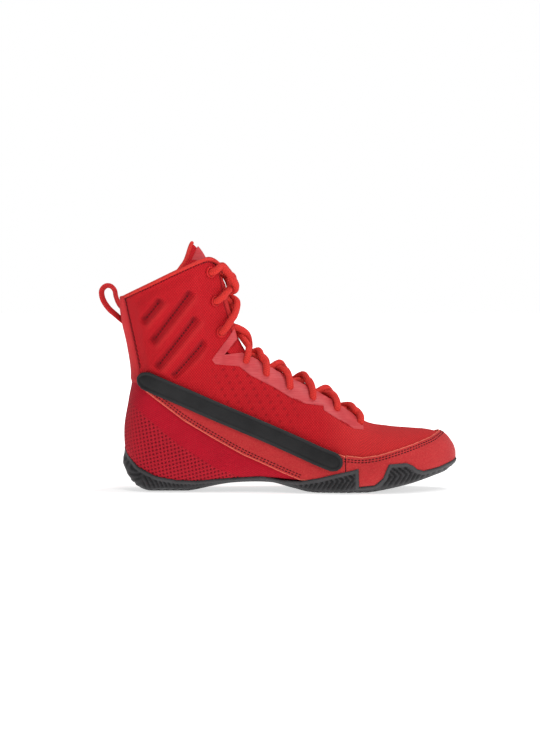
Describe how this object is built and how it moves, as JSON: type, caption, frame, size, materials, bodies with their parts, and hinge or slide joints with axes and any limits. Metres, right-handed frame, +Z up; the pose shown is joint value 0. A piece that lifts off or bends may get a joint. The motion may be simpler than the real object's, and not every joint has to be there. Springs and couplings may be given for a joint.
{
  "type": "boxing boot",
  "caption": "High lace-up boxing boot of red mesh and suede, with padded ankle panels, a thin black rubber cupsole with forefoot grip pods, a tongue and a heel pull loop.",
  "frame": {"origin": "middle of the heel's flat rest face on the floor", "axes": "+X to the toe, +Z up, the lateral side faces -Y (a right boot)"},
  "size_m": [0.3125, 0.1006, 0.214],
  "materials": {
    "rubber": "matte black grip rubber",
    "mesh": "fine red mesh",
    "knit": "dotted red knit",
    "suede": "napped red suede",
    "film": "fused semi-gloss film",
    "band": "black moulded overlay",
    "lace": "woven oval cord",
    "webbing": "flat woven tape",
    "lining": "soft brushed lining",
    "foam": "open foam",
    "board": "pressed fibre board",
    "eyelet": "smooth red"
  },
  "bodies": {
    "boot": {"outsole": "rubber", "midsole": "foam", "strobel_board": "board", "sockliner": "lining", "vamp": "mesh", "heel_panel": "knit", "mudguard": "suede", "back_strip": "mesh", "heel_counter": "board", "toe_puff": "board", "collar_binding": "mesh", "lace": "lace", "quarter_lateral": "mesh", "side_strap_lateral": "suede", "side_band_lateral": "band", "eyestay_lateral": "film", "ankle_pad_lateral": "foam", "lining_lateral": "lining", "ring_eyelet_lateral_1": "eyelet", "ring_eyelet_lateral_2": "eyelet", "ring_eyelet_lateral_3": "eyelet", "quarter_medial": "mesh", "side_strap_medial": "suede", "side_band_medial": "band", "eyestay_medial": "film", "ankle_pad_medial": "foam", "lining_medial": "lining", "ring_eyelet_medial_1": "eyelet", "ring_eyelet_medial_2": "eyelet", "ring_eyelet_medial_3": "eyelet"},
    "tongue": {"tongue_face": "mesh", "tongue_lining": "lining", "tongue_label": "film"},
    "pull_tab": {"pull_tab": "webbing"}
  },
  "joints": [
    {"name": "tongue_fold", "type": "hinge", "parent": "boot", "child": "tongue", "pos_m": [0.158, 0, 0.057], "axis": [0, -1, 0], "range_deg": [0, 4]},
    {"name": "pull_tab_swing", "type": "hinge", "parent": "boot", "child": "pull_tab", "pos_m": [-0.0496, 0, 0.1575], "axis": [-0.0571, 0, 0.9984], "range_deg": [-40, 40]}
  ]
}
